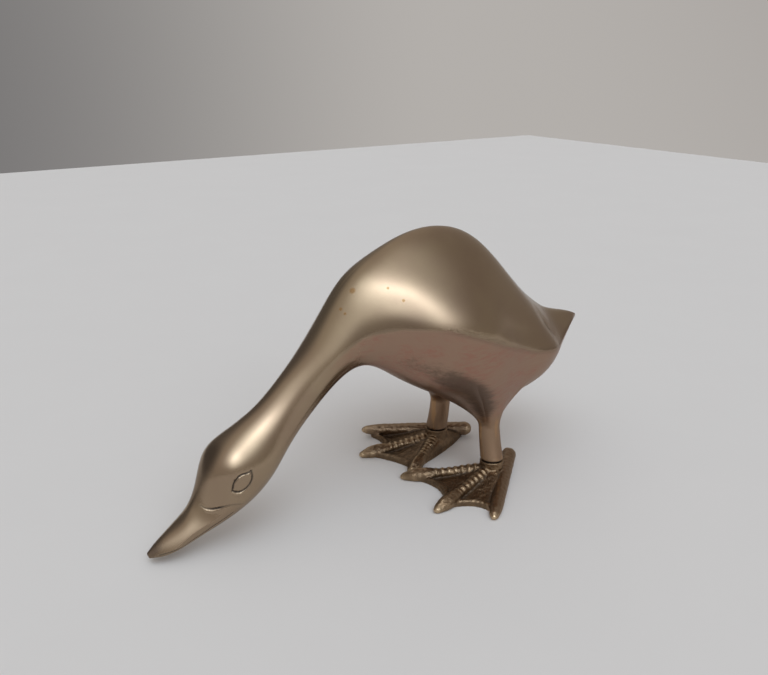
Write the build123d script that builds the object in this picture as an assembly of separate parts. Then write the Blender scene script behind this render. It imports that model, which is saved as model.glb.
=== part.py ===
from build123d import *
import os
from math import radians, tan

# A cast brass duck, head down, with its bill at -y, its left side at +x and its soles on z = 0.
# Sizes are millimetres and angles are degrees.

figure_length = 160.0                # from the tip of the bill to the tip of the tail
figure_height = 83.6                 # of the back
figure_width = 50.0                  # across the back

# The figure's form, as sections across it from bill to tail, which is stretched to the three sizes above.
# Each has a point on the back line and a point on the belly line, as (y, z) in the mid-plane, then its
# half width and how far the side above its widest line slopes in.
sections = {
    "bill tip": ((-80.0, 3.6), (-79.5, 2.0), 1.0, 0),
    "bill nail": ((-78.3, 5.0), (-77.4, 2.1), 2.5, 18),
    "bill": ((-69.8, 10.9), (-65.7, 4.7), 5.2, 36),
    "face": ((-65.3, 18.0), (-56.5, 8.6), 7.4, 32),
    "brow": ((-60.7, 27.2), (-48.8, 12.5), 9.3, 2),
    "crown": ((-54.3, 32.7), (-42.6, 18.0), 9.3, 6),
    "nape": ((-46.0, 37.8), (-36.5, 26.0), 7.4, 0),
    "upper neck": ((-37.2, 45.3), (-27.7, 35.0), 6.9, 0),
    "lower neck": ((-27.4, 55.5), (-18.0, 43.0), 8.6, 5),
    "neck root": ((-19.1, 66.5), (-11.1, 45.1), 11.2, 12),
    "shoulder": ((-8.4, 75.8), (-4.0, 42.1), 16.1, 10),
    "breast": ((5.2, 82.4), (4.8, 36.2), 22.2, 19),
    "back": ((19.5, 83.6), (16.2, 29.6), 25.0, 6),
    "saddle": ((32.6, 78.0), (27.5, 23.5), 22.7, 10),
    "rump": ((45.1, 64.9), (39.2, 24.1), 19.7, 10),
    "vent": ((55.6, 56.1), (52.9, 27.3), 17.3, 30),
    "tail root": ((63.7, 50.9), (62.1, 32.2), 11.7, 45),
    "tail nail": ((78.0, 46.4), (76.9, 42.8), 2.3, 30),
    "tail tip": ((80.0, 45.5), (79.7, 43.9), 0.6, 0),
}
# Sections that aren't plain ovals: how far the widest line lies above the middle, then how full the curves
# are, in shares of a half axis, at the back, above the widest line, below it and at the belly.
fullness = {
    "bill nail": (-0.3, 0.62, 0.10, 0.55, 0.55),
    "bill": (0.85, 0.60, 0.44, 0.55, 0.55),
    "face": (-0.5, 0.41, 0.54, 0.55, 0.55),
    "brow": (0.0, 0.66, 0.75, 0.55, 0.55),
    "crown": (-0.3, 0.48, 0.74, 0.55, 0.55),
    "nape": (-1.5, 0.43, 0.70, 0.55, 0.55),
    "lower neck": (2.1, 0.55, 0.40, 0.55, 0.55),
    "neck root": (1.5, 0.50, 0.26, 0.65, 0.60),
    "shoulder": (0.2, 0.38, 0.25, 0.75, 0.65),
    "breast": (-0.6, 0.28, 0.34, 0.80, 0.70),
    "back": (-2.3, 0.28, 0.45, 0.80, 0.70),
    "saddle": (-1.8, 0.36, 0.56, 0.78, 0.68),
    "rump": (-0.1, 0.38, 0.68, 0.68, 0.62),
    "vent": (0.4, 0.36, 0.48, 0.60, 0.56),
    "tail root": (0.3, 0.42, 0.40, 0.55, 0.55),
}
roundness = 0.5523                   # share of a half axis that bends a curve into a quarter ellipse
hollow = ("nape", "rump")            # first and last section of the cavity inside the shell
shell_wall = 3.0

# Pegs cast on the left half that locate the right half, at (y, z) in the solid head and the solid tail of
# the same form.
peg_places = ((-53.0, 21.5), (62.5, 42.5))
peg_diameter = 3.0
peg_length = 3.0
peg_clearance = 0.1

# Legs, one cast on each half. Each ends in a spigot at the foot, leans in a little towards the belly and
# swells into a thigh there.
leg_spacing = 30.0                   # between the axes of the two feet
leg_y = 30.6
leg_diameter = 7.4                   # at its lower end
spigot_diameter = 5.8
# Rings up the leg above its foot: height, inward lean, forward lean, width and length.
leg_rings = {
    "ankle": (12.0, 0.9, 0.0, 7.1, 7.1),
    "waist": (19.0, 2.0, 0.0, 6.8, 6.8),
    "knee": (23.5, 2.5, 0.3, 7.8, 8.6),
    "thigh": (27.5, 3.0, 1.2, 10.5, 15.0),
    "hip": (36.0, 4.2, 1.5, 12.5, 24.0),
}

# Feet. The collar of each takes the spigot of its leg and narrows towards the sole.
collar_height = 7.8
collar_wall = 0.85                   # round the spigot
collar_root_wall = 0.65              # round the screw's head, at the sole
socket_depth = 1.5
socket_clearance = 0.15
joint_gap = 0.25                     # between the collar and the end of the leg round its spigot
web_thickness = 1.6                  # at the scalloped edge
web_rise = 5.4                       # height of the web at the collar
web_reach = 19.0                     # from the leg's axis to the middle of each scallop
inner_web_reach = 4.4                # from the leg's axis to the edge between the inner and hind toes
toe_overhang = 3.5                   # how far a toe runs past the web
toe_root_diameter = 4.8
toe_waist_diameter = 3.8
toe_pad_diameter = 5.0
toe_pad_length = 11.0
toe_root_height = 4.4                # of the toe's axis, at the leg
rib_count = 7
rib_height = 0.45
hind_diameter = 5.0                  # of the bar that ends in the hind toe
outer_diameter = 4.2                 # of the same bar where it ends in the outer toe

# Toe tips of each foot: outwards and forwards from the leg's axis, and the height of the toe's axis there.
foot_plans = {
    "left": {
        "inner": (-17.2, 24.6, 0.9),
        "middle": (7.4, 28.8, 0.9),
        "outer": (20.6, 16.6, 1.0),
        "hind": (-8.2, -15.2, 3.0),
    },
    "right": {
        "inner": (-12.4, 20.3, 0.9),
        "middle": (8.0, 27.4, 0.9),
        "outer": (21.6, 17.8, 3.0),
        "hind": (0.4, -16.4, 3.0),
    },
}

# Countersunk slotted screws, one up through each foot into its leg.
screw_diameter = 3.0
screw_length = 12.0
screw_head_diameter = 5.6
screw_recess = 0.3                   # depth of the head's face below the sole
screw_clearance = 0.15
thread_clearance = 0.05
slot_width = 0.8
slot_depth = 0.6

backs = [section[0] for section in sections.values()]
half_widths = [section[2] for section in sections.values()]
stretch_x = figure_width / 2 / max(half_widths)
stretch_y = figure_length / (backs[-1][0] - backs[0][0])
stretch_z = figure_height / max(z for y, z in backs)
leg_x = leg_spacing / 2
leg_seat = collar_height - socket_depth
socket_radius = spigot_diameter / 2 + socket_clearance
collar_radius = socket_radius + collar_wall
collar_root_radius = screw_head_diameter / 2 + screw_clearance + collar_root_wall
on_floor = (Align.CENTER, Align.CENTER, Align.MIN)


def mid_plane_point(y, z):
    return Vector(0, y * stretch_y, z * stretch_z)


def half_section(place, inset):
    back_place, belly_place, half_width, edge_angle = sections[place]
    rise, crown, shoulder, flank, keel = fullness.get(place, (0,) + (roundness,) * 4)
    back = mid_plane_point(*back_place)
    belly = mid_plane_point(*belly_place)
    up = (back - belly).normalized()
    top = back - up * inset
    bottom = belly + up * inset
    side = Vector(half_width * stretch_x - inset, 0, 0)
    widest = (top + bottom) * 0.5 + up * rise * stretch_z + side
    over = (top - widest).dot(up) * shoulder
    under = (widest - bottom).dot(up) * flank
    slope = Vector(over * tan(radians(edge_angle)), 0, 0)
    upper = Bezier(top, top + side * crown, widest + up * over - slope, widest)
    lower = Bezier(widest, widest - up * under, bottom + side * keel, bottom)
    return Face(Wire([upper, lower, Line(bottom, top)]))


def half_loft(first, last, inset=0):
    places = list(sections)
    chosen = places[places.index(first):places.index(last) + 1]
    return loft([half_section(place, inset) for place in chosen])


def leg():
    rings = [Pos(leg_x, leg_y, collar_height + joint_gap) * Circle(leg_diameter / 2)]
    for height, inward, forward, width, length in leg_rings.values():
        rings.append(Pos(leg_x - inward, leg_y - forward, height) * Ellipse(width / 2, length / 2))
    spigot = Cylinder(spigot_diameter / 2, socket_depth + joint_gap, align=on_floor)
    return loft(rings) + Pos(leg_x, leg_y, leg_seat) * spigot


def body_half():
    places = list(sections)
    half = half_loft(places[0], places[-1]) + leg() - half_loft(*hollow, inset=shell_wall)
    return half - Pos(leg_x, leg_y, 0) * screw_shape(thread_clearance)


def pegs(clearance):
    radius = peg_diameter / 2 + clearance
    peg = Cylinder(radius, peg_length + clearance, rotation=(0, -90, 0), align=on_floor)
    return [Pos(mid_plane_point(*place)) * peg for place in peg_places]


def screw_shape(clearance):
    radius = screw_diameter / 2 + clearance
    head_radius = screw_head_diameter / 2 + clearance
    shank = Cylinder(radius, screw_recess + screw_length + clearance, align=on_floor)
    head = Cone(head_radius, radius, head_radius - radius, align=on_floor)
    entry = Cylinder(head_radius, screw_recess, align=on_floor)
    return shank + Pos(0, 0, screw_recess) * head + entry


def screw():
    below = Cylinder(screw_head_diameter, screw_recess, align=on_floor)
    slot = Box(screw_head_diameter, slot_width, screw_recess + slot_depth, align=on_floor)
    return screw_shape(0) - below - slot


def turned(outline, start, end):
    direction = (end - start).normalized()
    across = Vector(-direction.Y, direction.X, 0)
    return Plane(start, x_dir=direction, z_dir=across).location * revolve(outline, Axis.X)


def toe(tip):
    start = Vector(0, 0, toe_root_height)
    length = (tip - start).length
    ribs_start = collar_radius
    pad_start = length - toe_pad_length
    pitch = (pad_start - ribs_start) / rib_count
    narrowing = (toe_root_diameter - toe_waist_diameter) / 2 / rib_count
    waist = toe_waist_diameter / 2
    grooves = [(ribs_start + pitch * i, waist + narrowing * (rib_count - i)) for i in range(rib_count + 1)]
    edges = Polyline((length, 0), (0, 0), (0, grooves[0][1]), grooves[0]).edges()
    for (near, near_r), (far, far_r) in zip(grooves, grooves[1:]):
        crest = ((near + far) / 2, (near_r + far_r) / 2 + rib_height)
        edges.append(ThreePointArc((near, near_r), crest, (far, far_r)))
    swell = (pad_start + toe_pad_length / 3, toe_pad_diameter / 2)
    edges.append(Bezier(grooves[-1], swell, (length, toe_pad_diameter / 2), (length, 0)))
    return turned(Face(Wire(edges)), start, tip)


def bar(hind, outer):
    length = (outer - hind).length
    hind_r = hind_diameter / 2
    outer_r = outer_diameter / 2
    edges = [
        Line((length, 0), (0, 0)),
        RadiusArc((0, 0), (hind_r, hind_r), hind_r),
        Line((hind_r, hind_r), (length - outer_r, outer_r)),
        RadiusArc((length - outer_r, outer_r), (length, 0), outer_r),
    ]
    return turned(Face(Wire(edges)), hind, outer)


def web(*tips):
    def scallop(one, other, reach):
        heading = (one.normalized() + other.normalized()).normalized()
        return ThreePointArc(one, heading * reach, other)

    inner, middle, outer, hind = (Vector(tip.X, tip.Y, 0) for tip in tips)
    along_bar = (outer - hind).normalized()
    inner_edge = inner - inner.normalized() * toe_overhang
    middle_edge = middle - middle.normalized() * toe_overhang
    outer_edge = outer - along_bar * toe_overhang
    hind_edge = hind + along_bar * toe_overhang
    edges = [
        Line(outer_edge, hind_edge),
        scallop(hind_edge, inner_edge, inner_web_reach),
        scallop(inner_edge, middle_edge, web_reach),
        scallop(middle_edge, outer_edge, web_reach),
    ]
    plan = Face(Wire(edges))
    slope = Cone(web_reach, collar_radius, web_rise, align=on_floor)
    return extrude(plan, web_thickness, dir=(0, 0, 1)) + (extrude(plan, web_rise, dir=(0, 0, 1)) & slope)


def foot(plan):
    inner, middle, outer, hind = (Vector(out, -ahead, height) for out, ahead, height in plan.values())
    collar = Cone(collar_root_radius, collar_radius, collar_height, align=on_floor)
    casting = collar + web(inner, middle, outer, hind) + toe(inner) + toe(middle) + bar(hind, outer)
    casting = split(casting, bisect_by=Plane.XY, keep=Keep.TOP)
    socket = Cylinder(socket_radius, socket_depth, align=on_floor)
    return casting - Pos(0, 0, leg_seat) * socket - screw_shape(screw_clearance)


half = body_half()
at_left_leg = Pos(leg_x, leg_y, 0)
pieces = {
    "body_left_half": half + pegs(0),
    "body_right_half": mirror(half, about=Plane.YZ) - pegs(peg_clearance),
    "left_foot": at_left_leg * foot(foot_plans["left"]),
    "right_foot": mirror(at_left_leg * foot(foot_plans["right"]), about=Plane.YZ),
    "left_foot_screw": at_left_leg * screw(),
    "right_foot_screw": mirror(at_left_leg * screw(), about=Plane.YZ),
}
os.makedirs("parts", exist_ok=True)
for name, piece in pieces.items():
    export_step(piece, f"parts/{name}.step")
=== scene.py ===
import math
import bpy
import numpy as np
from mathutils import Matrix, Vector, noise


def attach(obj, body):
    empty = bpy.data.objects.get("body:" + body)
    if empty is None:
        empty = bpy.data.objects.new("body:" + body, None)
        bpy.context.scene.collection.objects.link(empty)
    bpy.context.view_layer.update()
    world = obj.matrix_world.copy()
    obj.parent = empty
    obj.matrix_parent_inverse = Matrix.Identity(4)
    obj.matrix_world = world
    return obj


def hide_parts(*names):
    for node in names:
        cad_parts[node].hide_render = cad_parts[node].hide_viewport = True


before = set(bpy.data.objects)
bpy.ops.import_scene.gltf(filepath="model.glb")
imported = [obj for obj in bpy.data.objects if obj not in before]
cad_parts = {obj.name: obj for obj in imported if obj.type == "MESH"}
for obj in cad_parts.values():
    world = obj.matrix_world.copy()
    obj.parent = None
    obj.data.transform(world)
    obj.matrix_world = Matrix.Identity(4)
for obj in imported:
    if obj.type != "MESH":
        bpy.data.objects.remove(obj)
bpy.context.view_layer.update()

mm = 0.001  # sizes below are millimetres, meshes are made in metres at the end
scene = bpy.context.scene


# node trees: a sheet adds nodes, and a value is one socket that can be reckoned with

class Value:
    def __init__(self, sheet, socket):
        self.sheet = sheet
        self.socket = socket

    def reckon(self, operation, first, second):
        return self.sheet.add("ShaderNodeMath", {"operation": operation}, {0: first, 1: second})

    def __add__(self, other):
        return self.reckon("ADD", self, other)

    def __sub__(self, other):
        return self.reckon("SUBTRACT", self, other)

    def __rsub__(self, other):
        return self.reckon("SUBTRACT", other, self)

    def __mul__(self, other):
        return self.reckon("MULTIPLY", self, other)

    def __truediv__(self, other):
        return self.reckon("DIVIDE", self, other)

    def __pow__(self, other):
        return self.reckon("POWER", self, other)

    __radd__ = __add__
    __rmul__ = __mul__


class Sheet:
    def __init__(self, tree):
        self.tree = tree

    def add(self, kind, settings=None, sockets=None, output=0):
        node = self.tree.nodes.new(kind)
        for name, setting in (settings or {}).items():
            if name == "outline":  # points of a float curve
                points = node.mapping.curves[0].points
                for point, (x, y) in zip(points, (setting[0], setting[-1])):
                    point.location = (x, y)
                for x, y in setting[1:-1]:
                    points.new(x, y)
                node.mapping.update()
            else:
                setattr(node, name, setting)
        for name, given in (sockets or {}).items():
            for item in given if isinstance(given, list) else [given]:
                if isinstance(item, Value):
                    self.tree.links.new(item.socket, node.inputs[name])
                else:
                    node.inputs[name].default_value = item
        return Value(self, node.outputs[output] if len(node.outputs) else None)

    def spread(self, value, low, high):  # 0 at low, 1 at high, smooth between
        sockets = {"Value": value, "From Min": low, "From Max": high}
        return self.add("ShaderNodeMapRange", {"interpolation_type": "SMOOTHSTEP"}, sockets)

    def blend(self, share, first, second):  # colours
        sockets = {"Factor": share, 6: (*first, 1) if isinstance(first, tuple) else first,
                   7: (*second, 1) if isinstance(second, tuple) else second}
        return self.add("ShaderNodeMix", {"data_type": "RGBA"}, sockets, output=2)


class Finish(Sheet):
    def __init__(self, name):
        self.material = bpy.data.materials.new(name)
        self.material.use_nodes = True
        super().__init__(self.material.node_tree)
        self.tree.nodes.clear()

    def place(self, scale):  # object coordinates in millimetres, scaled on each axis
        sockets = {"Vector": self.add("ShaderNodeTexCoord", output=3), "Scale": tuple(s / mm for s in scale)}
        return self.add("ShaderNodeMapping", {}, sockets)

    def cloud(self, scale, detail, rough):
        sockets = {"Vector": self.place(scale), "Scale": 1.0, "Detail": detail, "Roughness": rough}
        return self.add("ShaderNodeTexNoise", {}, sockets)

    def mask(self, name):  # read from the piece's own attribute
        return self.add("ShaderNodeAttribute", {"attribute_name": name}, output=2)

    def spot(self, centre, radius):  # 1 within a small ball, fading at its edge
        sockets = {0: self.add("ShaderNodeTexCoord", output=3), 1: tuple(c * mm for c in centre)}
        away = self.add("ShaderNodeVectorMath", {"operation": "DISTANCE"}, sockets, output=1)
        return self.spread(away, radius * 1.15 * mm, radius * 0.55 * mm)

    def close(self, colour, roughness, metallic, height, depth, tightness, coat=0.0, edge=(1, 1, 1)):
        sockets = {"Height": height, "Distance": depth * mm, "Strength": tightness}
        bump = self.add("ShaderNodeBump", {}, sockets)
        sockets = {"Base Color": colour, "Roughness": roughness, "Metallic": metallic, "Normal": bump,
                   "Coat Weight": coat, "Coat Roughness": 0.25, "Specular Tint": (*edge, 1)}
        surface = self.add("ShaderNodeBsdfPrincipled", {}, sockets)
        self.add("ShaderNodeOutputMaterial", {}, {"Surface": surface})
        return self.material


# finishes

bodyBrassLook = {
    "brass": (0.390, 0.298, 0.198), "brown": (0.335, 0.242, 0.168), "belly": (0.345, 0.221, 0.160),
    "red": (0.355, 0.192, 0.140), "leg": (0.325, 0.218, 0.140), "streak": (0.450, 0.275, 0.145),
    # the patina colour is also laid as painted shade by the dull and dirt marks
    "patinaAndShade": (0.110, 0.076, 0.056), "spot": (0.300, 0.165, 0.060), "groove": (0.030, 0.021, 0.016),
    "roughness": 0.18, "coat": 0.03,
    "edge": (0.80, 0.77, 0.75),  # dulls the metal where it turns away
    # noise: scale on each axis, detail and roughness
    "clouds": {
        "patches": ((0.04, 0.04, 0.04), 4.0, 0.55), "grain": ((1.7, 1.7, 1.7), 3.0, 0.7),
        "brushed": ((1.0, 0.22, 1.3), 4.0, 0.65),  # strokes along the belly
        "drawn": ((0.5, 0.5, 0.04), 3.0, 0.55),  # streaks down the leg
        "reddish": ((0.1, 0.07, 0.13), 4.0, 0.65), "smeared": ((0.4, 0.09, 0.5), 5.0, 0.75),
    },
    # stains on the left side: centre and radius
    "stains": [((4.5, -15.7, 69.5), 1.0), ((4.4, -19.6, 64.6), 0.6), ((6.0, -19.2, 63.6), 0.5),
               ((10.4, -7.4, 70.3), 0.45), ((14.2, -4.6, 67.1), 0.5), ((18.9, 47.3, 43.0), 0.6)],
}


def makeBodyBrass(look):
    f = Finish("agedBodyBrassWithPaintedShade")
    belly, carved, dirty = f.mask("belly"), f.mask("carved"), f.mask("dirty")
    dull, ridge, leg = f.mask("dull"), f.mask("ridge"), f.mask("leg")
    patches, grain, brushed, drawn, reddish, smeared = (f.cloud(*form) for form in look["clouds"].values())
    patches, reddish = f.spread(patches, 0.36, 0.68), f.spread(reddish, 0.40, 0.62)
    stains = [f.spot(*stain) for stain in look["stains"]]
    stained = sum(stains[1:], stains[0])
    colour = f.blend(patches * 0.8, look["brass"], look["brown"])
    colour = f.blend(belly * 0.85, colour, look["belly"])
    colour = f.blend(belly * reddish * f.spread(brushed, 0.35, 0.62), colour, look["red"])
    colour = f.blend(leg * 0.85, colour, look["leg"])
    colour = f.blend(leg * f.spread(drawn, 0.50, 0.66), colour, look["streak"])
    colour = f.blend(stained * 0.8, colour, look["spot"])
    # painted shade: darker on the top of the head, under the neck, at the bill's tip, in the fold under the
    # shoulder's roll and along the wing's edge
    colour = f.blend(dull * 0.5, colour, look["patinaAndShade"])
    # dirt and painted shade: random smears, plus a darker zone from the breast down to the leg and at the
    # bill's tip
    dirt = f.spread(smeared + 0.75 * dirty, 0.62, 1.20)
    colour = f.blend(dirt * 0.8, colour, look["patinaAndShade"])
    # dark in the cut lines, and a painted shadow ring on the leg's end above the collar
    colour = f.blend(carved, colour, look["groove"])
    speckle = ridge * f.spread(grain, 0.50, 0.60)  # pits along the wing's edge
    roughness = look["roughness"] + 0.03 * patches + belly * 0.10 + leg * 0.12
    roughness = roughness + grain * 0.03 + dirt * 0.15 + carved * 0.25
    metallic = 1 - 0.15 * dirt - 0.6 * carved - 0.3 * stained
    height = grain * 0.22 + belly * brushed * 4.0 + leg * drawn * 1.4 - speckle * 1.8
    return f.close(colour, roughness, metallic, height, depth=0.05, tightness=0.5,
                   coat=look["coat"], edge=look["edge"])


footBrassLook = {
    "dark": (0.085, 0.058, 0.038), "brass": (0.255, 0.172, 0.102),
    "brown": (0.245, 0.170, 0.112), "worn": (0.660, 0.500, 0.320),
    "roughness": 0.36, "coat": 0.1, "edge": (0.70, 0.62, 0.56),
    "webLines": 80, "waver": 3,  # how close the lines over the web lie, and how far they stray
}


def makeFootBrass(look):
    f = Finish("darkFootBrassWithPaintedShade")
    worn, fan, web, bar = (f.mask(name) for name in ("worn", "fan", "web", "bar"))
    patches = f.spread(f.cloud((0.22, 0.22, 0.22), 4.0, 0.6), 0.35, 0.65)
    grain = f.cloud((2.2, 2.2, 2.2), 3.0, 0.7)
    wave = fan * look["webLines"] + grain * look["waver"]
    lines = f.add("ShaderNodeMath", {"operation": "SINE"}, {0: wave})
    rubbed = f.spread(worn + 0.16 * (grain - 0.5), 0.56, 0.84) * (1 - 0.85 * web)
    hollow = f.spread(worn + 0.10 * (grain - 0.5), 0.48, 0.32)
    colour = f.blend(patches * 0.5, look["brass"], look["dark"])
    # painted shade: the web darker between the toes
    colour = f.blend(web * 0.35, colour, look["dark"])
    colour = f.blend(bar * 0.8, colour, look["brown"])
    # painted shade: darker in the hollows between ribs and toes
    colour = f.blend(hollow * 0.9, colour, look["dark"])
    colour = f.blend(rubbed * 0.9, colour, look["worn"])
    roughness = look["roughness"] + 0.15 * hollow - 0.12 * rubbed + 0.1 * (grain - 0.5)
    metallic = 1 - 0.35 * hollow
    height = grain * (1 - 0.6 * bar) + lines * 0.35 * web
    return f.close(colour, roughness, metallic, height, depth=0.14, tightness=0.8,
                   coat=look["coat"], edge=look["edge"])


screwBrassLook = {
    "bright": (0.56, 0.43, 0.22), "dull": (0.34, 0.25, 0.13), "roughness": 0.30,
    "turning": 22.0,  # how close the turning marks lie, in radians per millimetre
}


def makeScrewBrass(look, axis):
    f = Finish("turnedScrewBrass")
    coordinates = f.add("ShaderNodeTexCoord", output=3)
    apart = f.add("ShaderNodeSeparateXYZ", {}, {"Vector": coordinates})
    x = f.add("ShaderNodeMath", {"operation": "ABSOLUTE"}, {0: apart}) - axis[0] * mm
    y = Value(f, apart.socket.node.outputs[1]) - axis[1] * mm
    radius = (x * x + y * y) ** 0.5 / mm
    rings = f.add("ShaderNodeMath", {"operation": "SINE"}, {0: radius * look["turning"]})
    dull = f.spread(f.cloud((0.5, 0.5, 0.5), 4.0, 0.6), 0.35, 0.65)
    colour = f.blend(dull, look["bright"], look["dull"])
    return f.close(colour, look["roughness"] + 0.2 * dull, 1 - 0.2 * dull, rings, depth=0.02, tightness=0.5)


# mesh helpers

def splineThrough(stations, values, places):
    # natural cubic spline through rows of values, read at other places
    flat = np.asarray(values, float)
    h = np.diff(stations)
    count = len(stations)
    matrix = np.eye(count)
    bends = np.zeros_like(flat)
    for i in range(1, count - 1):
        matrix[i, i - 1:i + 2] = h[i - 1], 2 * (h[i - 1] + h[i]), h[i]
        bends[i] = 6 * ((flat[i + 1] - flat[i]) / h[i] - (flat[i] - flat[i - 1]) / h[i - 1])
    bends = np.linalg.solve(matrix, bends.reshape(count, -1)).reshape(flat.shape)
    k = np.clip(np.searchsorted(stations, places) - 1, 0, count - 2)
    shape = (-1,) + (1,) * (flat.ndim - 1)
    a = ((stations[k + 1] - places) / h[k]).reshape(shape)
    b = 1 - a
    step = (h[k] ** 2 / 6).reshape(shape)
    return a * flat[k] + b * flat[k + 1] + ((a ** 3 - a) * bends[k] + (b ** 3 - b) * bends[k + 1]) * step


def unit(vectors):
    return vectors / np.maximum(np.linalg.norm(vectors, axis=-1, keepdims=True), 1e-9)


def smoothStep(values, low, high):  # 0 at low, 1 at high
    t = np.clip((values - low) / (high - low), 0, 1)
    return t * t * (3 - 2 * t)


def fade(values, low, high):  # 1 at low, 0 at high
    return 1 - smoothStep(values, low, high)


def within(values, start, full, last, end):  # 1 from full to last, 0 outside
    return smoothStep(values, start, full) * fade(values, last, end)


def alongPath(values, shares):
    # values given from one end of a path to the other, read at shares of its length
    return np.interp(shares, np.linspace(0, 1, len(values)), values)


def lengthsAlong(points):
    return np.concatenate([[0], np.cumsum(np.linalg.norm(np.diff(points, axis=0), axis=1))])


def pathThrough(points, spacing=0.1):
    stations = lengthsAlong(points)
    return splineThrough(stations, points, np.arange(0, stations[-1], spacing))


def nearestOn(path, points, batch=40):
    # distance of each point from the path, and how far along it the nearest place lies, from 0 to 1
    best, share = np.full(len(points), 1e9), np.zeros(len(points))
    for start in range(0, len(path), batch):
        gaps = np.linalg.norm(points[:, None] - path[None, start:start + batch], axis=2)
        closer = gaps.min(axis=1) < best
        best[closer] = gaps.min(axis=1)[closer]
        share[closer] = (gaps.argmin(axis=1)[closer] + start) / (len(path) - 1)
    return best, share


def makePiece(name, vertices, faces, material, masks, sharpAngle=60):
    mesh = bpy.data.meshes.new(name)
    mesh.from_pydata((np.asarray(vertices) * mm).tolist(), [], faces)
    for mask, values in masks.items():
        mesh.attributes.new(mask, "FLOAT", "POINT").data.foreach_set("value", np.asarray(values, np.float32))
    mesh.shade_smooth()
    mesh.set_sharp_from_angle(angle=math.radians(sharpAngle))
    mesh.materials.append(material)
    piece = bpy.data.objects.new(name, mesh)
    scene.collection.objects.link(piece)
    return piece


def dress(piece, node):
    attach(piece, "root")
    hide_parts(node)
    print("made", piece.name, len(piece.data.polygons), "faces")


# body halves

oval = (0.0, 0.5523, 0.5523, 0.5523, 0.5523)  # a plain ellipse
bodyForm = {
    # sections from bill to tail: back line (y, z), belly line (y, z), half width, slope of the side above
    # its widest line, then that line's height above the middle and the fullness from back to belly
    "sections": [
        ((-80.0, 3.6), (-79.5, 2.0), 1.0, 0, oval),
        ((-78.3, 5.0), (-77.4, 2.1), 2.5, 18, (-0.3, 0.62, 0.10, 0.55, 0.55)),
        ((-69.8, 10.9), (-65.7, 4.7), 5.2, 36, (0.85, 0.60, 0.44, 0.55, 0.55)),
        ((-65.3, 18.0), (-56.5, 8.6), 7.4, 32, (-0.5, 0.41, 0.54, 0.55, 0.55)),
        ((-60.7, 27.2), (-48.8, 12.5), 9.3, 2, (0.0, 0.66, 0.75, 0.55, 0.55)),
        ((-54.3, 32.7), (-42.6, 18.0), 9.3, 6, (-0.3, 0.48, 0.74, 0.55, 0.55)),
        ((-46.0, 37.8), (-36.5, 26.0), 7.4, 0, (-1.5, 0.43, 0.70, 0.55, 0.55)),
        ((-37.2, 45.3), (-27.7, 35.0), 6.9, 0, oval),
        ((-27.4, 55.5), (-18.0, 43.0), 8.6, 5, (2.1, 0.55, 0.40, 0.55, 0.55)),
        ((-19.1, 66.5), (-11.1, 45.1), 11.2, 12, (1.5, 0.50, 0.26, 0.65, 0.60)),
        ((-8.4, 75.8), (-4.0, 42.1), 16.1, 10, (0.2, 0.38, 0.25, 0.75, 0.65)),
        ((5.2, 82.4), (4.8, 36.2), 22.2, 19, (-0.6, 0.28, 0.34, 0.80, 0.70)),
        ((19.5, 83.6), (16.2, 29.6), 25.0, 6, (-2.3, 0.28, 0.45, 0.80, 0.70)),
        ((32.6, 78.0), (27.5, 23.5), 22.7, 10, (-1.8, 0.36, 0.56, 0.78, 0.68)),
        ((45.1, 64.9), (39.2, 24.1), 19.7, 10, (-0.1, 0.38, 0.68, 0.68, 0.62)),
        ((55.6, 56.1), (52.9, 27.3), 17.3, 30, (0.4, 0.36, 0.48, 0.60, 0.56)),
        ((63.7, 50.9), (62.1, 32.2), 11.7, 45, (0.3, 0.42, 0.40, 0.55, 0.55)),
        ((78.0, 46.4), (76.9, 42.8), 2.3, 30, oval),
        ((80.0, 45.5), (79.7, 43.9), 0.6, 0, oval),
    ],
    "columns": 150, "innerColumns": 24,
    "fineStep": 0.19, "step": 0.8, "fineTo": 6,  # rows are finer from the bill to this section
    "tipDepth": 0.25, "tipRows": 5,
    "hollow": (6, 14), "wall": 3.0,  # sections where the cavity starts and ends
    # soft roll along the shoulder, the shallow fold under it, and the wing's raised edge
    "rollBlend": 2.0,  # evens out a roll's height over this length
    "rolls": [
        {"width": 8.9, "heights": (1.02, 0.93, 0.97, 1.00, 1.10), "path": [
            (4.3, -12.8, 71.3), (7.8, -9.6, 71.2), (11.1, -6.1, 70.2), (14.2, -2.4, 68.8), (17.2, 0.9, 66.5),
            (20.2, 3.6, 63.6), (22.8, 6.9, 60.6), (24.5, 11.1, 58.2), (25.1, 15.7, 56.1)]},
        {"width": 3.5, "heights": (-0.12, -0.22, -0.10, 0.0), "path": [
            (7.6, -16.9, 70.6), (11.3, -13.1, 69.9), (14.3, -9.4, 68.5), (17.1, -5.4, 66.6),
            (19.1, -2.8, 64.6), (21.6, 0.1, 61.5), (24.2, 4.3, 57.8), (25.7, 9.2, 54.9), (26.0, 14.5, 52.7)]},
        {"width": 3.6, "heights": (0.3, 1.0, 1.1, 1.0, 0.8, 0.2), "path": [
            (24.6, 20.0, 53.4), (22.7, 29.9, 49.0), (21.2, 36.0, 46.4), (19.7, 42.1, 44.4),
            (18.6, 48.5, 42.9), (17.3, 54.3, 42.1), (14.8, 59.0, 41.9)]},
    ],
}
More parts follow.
